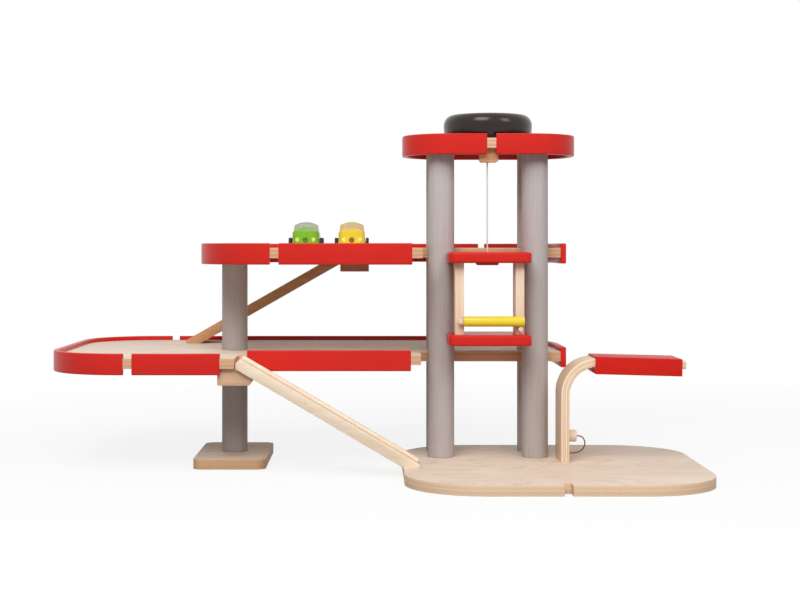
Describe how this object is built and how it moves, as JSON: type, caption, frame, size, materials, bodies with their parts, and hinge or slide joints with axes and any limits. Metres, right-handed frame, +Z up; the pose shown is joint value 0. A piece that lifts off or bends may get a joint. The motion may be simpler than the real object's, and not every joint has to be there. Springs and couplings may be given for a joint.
{
  "type": "toy parking garage with lift",
  "caption": "Wooden toy parking garage with two railed decks, lift-off ramps, a crank-up lift cage between columns, a fuel pump and small cars.",
  "frame": {"origin": "centre of the base board's underside, on the floor", "axes": "+X to the fuel pump side, along the length; +Y to the rear; +Z up"},
  "size_m": [0.771, 0.505, 0.431],
  "materials": {
    "plywood": "clear satin varnish",
    "wood": "clear satin varnish",
    "bent_ply": "clear satin varnish, plies in view",
    "red_paint": "gloss red paint",
    "grey_paint": "satin grey paint",
    "black_paint": "gloss black paint",
    "yellow_paint": "gloss yellow paint",
    "lift_cord": "white twisted cord",
    "hose": "dark red cord",
    "steel": "zinc plated",
    "car_green": "gloss green",
    "car_yellow": "gloss yellow",
    "car_window": "pale translucent",
    "black_tyre": "matt black"
  },
  "bodies": {
    "root": {"base_board": "plywood", "base_screws": "steel", "foot_plate": "plywood", "lower_deck": "plywood", "upper_deck": "plywood", "roof_board": "plywood", "column_dowels": "wood", "ramp_rests": "wood", "cord_guide": "wood", "lift_cord_run": "lift_cord", "lift_cord": "lift_cord", "pump_arch": "bent_ply", "canopy": "red_paint", "lower_rim_left": "red_paint", "lower_rim_front_left": "red_paint", "lower_rim_front_right": "red_paint", "lower_rim_rear": "red_paint", "upper_rim_left": "red_paint", "upper_rim_front": "red_paint", "upper_rim_rear": "red_paint", "upper_rim_right": "red_paint", "roof_rim_left": "red_paint", "roof_rim_right": "red_paint", "support_column_low": "grey_paint", "support_column_up": "grey_paint", "front_column_left": "grey_paint", "rear_column_low_left": "grey_paint", "rear_column_mid_left": "grey_paint", "rear_column_top_left": "grey_paint", "front_column_right": "grey_paint", "rear_column_low_right": "grey_paint", "rear_column_mid_right": "grey_paint", "rear_column_top_right": "grey_paint"},
    "front_ramp": {"front_ramp": "wood"},
    "rear_ramp": {"rear_ramp": "wood"},
    "knob": {"lift_knob": "black_paint", "cord_drum": "wood", "cord_winding": "lift_cord", "knob_spindle": "wood", "spindle_fixing": "steel"},
    "cage": {"cage_floor": "red_paint", "cage_top": "red_paint", "cage_post_left": "wood", "cage_post_right": "wood", "cord_anchor": "red_paint", "gate_pin": "wood", "gate_rest": "wood"},
    "gate": {"gate_bar": "yellow_paint"},
    "nozzle": {"pump_nozzle": "wood", "pump_hose": "hose"},
    "green_car": {"car_green_body": "car_green", "car_green_cabin": "car_window", "car_green_axles": "steel"},
    "green_front_wheels": {"car_green_wheels_front": "black_tyre"},
    "green_rear_wheels": {"car_green_wheels_rear": "black_tyre"},
    "yellow_car": {"car_yellow_body": "car_yellow", "car_yellow_cabin": "car_window", "car_yellow_axles": "steel"},
    "yellow_front_wheels": {"car_yellow_wheels_front": "black_tyre"},
    "yellow_rear_wheels": {"car_yellow_wheels_rear": "black_tyre"}
  },
  "joints": [
    {"name": "knob_turn", "type": "hinge", "parent": "root", "child": "knob", "pos_m": [-0.068, 0.09, 0.399], "axis": [0, 0, 1], "range_deg": [-660, 490]},
    {"name": "cage_lift", "type": "slide", "parent": "root", "child": "cage", "axis": [0, 0, 1], "range_m": [-0.1385, 0.103], "deforming": ["lift_cord"]},
    {"name": "gate_swing", "type": "hinge", "parent": "cage", "child": "gate", "pos_m": [-0.107, -0.0048, 0.18], "axis": [0, -1, 0], "range_deg": [0, 55]},
    {"name": "front_ramp_lift_off", "type": "slide", "parent": "root", "child": "front_ramp", "axis": [0, 0, 1], "range_m": [0, 0.05]},
    {"name": "rear_ramp_lift_off", "type": "slide", "parent": "root", "child": "rear_ramp", "axis": [0, 0, 1], "range_m": [0, 0.05]},
    {"name": "nozzle_pull", "type": "slide", "parent": "root", "child": "nozzle", "axis": [1, 0, 0], "range_m": [0, 0.02]},
    {"name": "green_car_roll", "type": "slide", "parent": "root", "child": "green_car", "axis": [0, 1, 0], "range_m": [-0.055, 0.12]},
    {"name": "green_front_wheels_spin", "type": "hinge", "parent": "green_car", "child": "green_front_wheels", "pos_m": [-0.2915, 0.037, 0.2733], "axis": [1, 0, 0], "continuous": true},
    {"name": "green_rear_wheels_spin", "type": "hinge", "parent": "green_car", "child": "green_rear_wheels", "pos_m": [-0.2915, 0.079, 0.2733], "axis": [1, 0, 0], "continuous": true},
    {"name": "yellow_car_roll", "type": "slide", "parent": "root", "child": "yellow_car", "axis": [0, 1, 0], "range_m": [-0.055, 0.12]},
    {"name": "yellow_front_wheels_spin", "type": "hinge", "parent": "yellow_car", "child": "yellow_front_wheels", "pos_m": [-0.236, 0.037, 0.2733], "axis": [1, 0, 0], "continuous": true},
    {"name": "yellow_rear_wheels_spin", "type": "hinge", "parent": "yellow_car", "child": "yellow_rear_wheels", "pos_m": [-0.236, 0.079, 0.2733], "axis": [1, 0, 0], "continuous": true}
  ],
  "couplings": [
    {"joint": "cage_lift", "follows": "knob_turn", "m_per_rad": 0.012}
  ]
}
